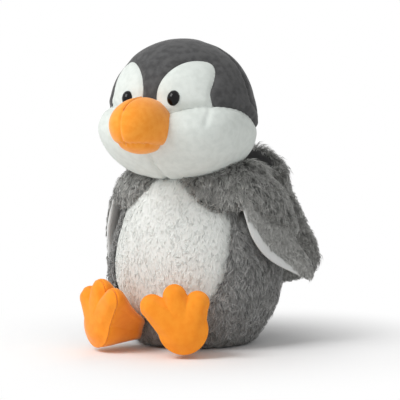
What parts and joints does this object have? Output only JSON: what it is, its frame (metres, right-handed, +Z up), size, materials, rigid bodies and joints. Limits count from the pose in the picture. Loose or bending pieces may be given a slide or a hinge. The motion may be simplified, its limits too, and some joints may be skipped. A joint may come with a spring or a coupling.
{
  "type": "plush penguin",
  "caption": "Seated plush penguin with a turning head, hinged flippers and feet, and a folded-down hood whose bag lifts off its back.",
  "frame": {"origin": "centre of the flat base panel the penguin sits on, on the body's vertical axis", "axes": "-Y is the front (the beak), +X is the penguin's left, +Z is up"},
  "size_m": [0.2244, 0.2891, 0.2982],
  "materials": {
    "grey_fur": "long matted pile",
    "belly_fur": "long soft pile",
    "base_cloth": "plain weave",
    "hood_fur": "long matted pile",
    "hood_lining": "smooth knit",
    "charcoal_plush": "short plush",
    "white_plush": "short plush",
    "orange_plush": "velvety short plush",
    "foot_plush": "velvety short plush",
    "flipper_fur": "short matted pile",
    "flipper_satin": "smooth knit",
    "filling": "fibre wadding",
    "pouch_cloth": "plain weave",
    "eye_gloss": "polished",
    "washer_plastic": "moulded"
  },
  "bodies": {
    "body": {"body_side_left": "grey_fur", "body_side_right": "grey_fur", "belly_panel": "belly_fur", "base_panel": "base_cloth", "body_filling": "filling", "pellet_pouch": "pouch_cloth", "hood_cape_lining": "hood_lining", "hood_cape_fur": "hood_fur"},
    "head": {"head_crown": "charcoal_plush", "head_back": "charcoal_plush", "eye_patch_left": "white_plush", "eye_patch_right": "white_plush", "cheek_left": "white_plush", "cheek_right": "white_plush", "head_filling": "filling", "beak_upper_left": "orange_plush", "beak_upper_right": "orange_plush", "beak_lower": "orange_plush", "beak_filling": "filling", "eye_left": "eye_gloss", "eye_right": "eye_gloss", "eye_washer_left": "washer_plastic", "eye_washer_right": "washer_plastic"},
    "hood_bag": {"hood_bag_fur": "hood_fur", "hood_bag_lining": "hood_lining"},
    "flipper_left": {"flipper_fur_left": "flipper_fur", "flipper_satin_left": "flipper_satin", "flipper_filling_left": "filling"},
    "foot_left": {"foot_sole_left": "foot_plush", "foot_upper_left": "foot_plush", "foot_filling_left": "filling"},
    "flipper_right": {"flipper_fur_right": "flipper_fur", "flipper_satin_right": "flipper_satin", "flipper_filling_right": "filling"},
    "foot_right": {"foot_sole_right": "foot_plush", "foot_upper_right": "foot_plush", "foot_filling_right": "filling"}
  },
  "joints": [
    {"name": "head_turn", "type": "hinge", "parent": "body", "child": "head", "pos_m": [0, -0.02, 0.175], "axis": [0, 0, 1], "range_deg": [-30, 30]},
    {"name": "hood_bag_lift", "type": "hinge", "parent": "body", "child": "hood_bag", "pos_m": [0, 0.045, 0.181], "axis": [1, 0, 0], "range_deg": [0, 30]},
    {"name": "flipper_left_flap", "type": "hinge", "parent": "body", "child": "flipper_left", "pos_m": [0.079, -0.008, 0.143], "axis": [-0.1564, -0.9877, 0], "range_deg": [0, 60]},
    {"name": "foot_left_lift", "type": "hinge", "parent": "body", "child": "foot_left", "pos_m": [0.0255, -0.08, 0.0726], "axis": [-0.8988, -0.4384, 0], "range_deg": [0, 25]},
    {"name": "flipper_right_flap", "type": "hinge", "parent": "body", "child": "flipper_right", "pos_m": [-0.079, -0.008, 0.143], "axis": [-0.1564, 0.9877, 0], "range_deg": [0, 60]},
    {"name": "foot_right_lift", "type": "hinge", "parent": "body", "child": "foot_right", "pos_m": [-0.0255, -0.08, 0.0726], "axis": [-0.8988, 0.4384, 0], "range_deg": [0, 25]}
  ]
}
